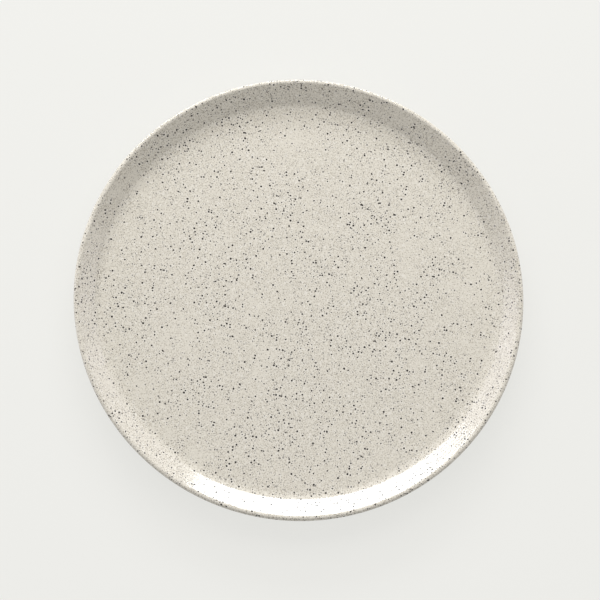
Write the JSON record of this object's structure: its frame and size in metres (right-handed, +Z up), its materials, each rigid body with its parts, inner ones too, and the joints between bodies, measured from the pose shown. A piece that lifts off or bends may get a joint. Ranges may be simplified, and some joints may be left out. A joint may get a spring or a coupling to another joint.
{
  "type": "coupe dinner plate",
  "caption": "Round rimless stoneware plate with a flat well, a short upturned wall and a bare foot ring, glazed cream with dark specks, to serve a meal on.",
  "frame": {"origin": "centre of the plane that the foot ring rests on", "axes": "+Z up along the plate's axis of revolution, the well facing up; X and Y are any two level directions, because the plate is round"},
  "size_m": [0.275, 0.275, 0.018],
  "materials": {
    "stoneware": "bare fired clay, matt, fine-grained, with small dark mineral grains",
    "glaze": "glossy warm cream glaze with dense fine grey-brown specks and sparser dark ones"
  },
  "bodies": {
    "root": {"stoneware_body": "stoneware", "glaze_coat": "glaze", "base_glaze": "glaze"}
  },
  "joints": []
}
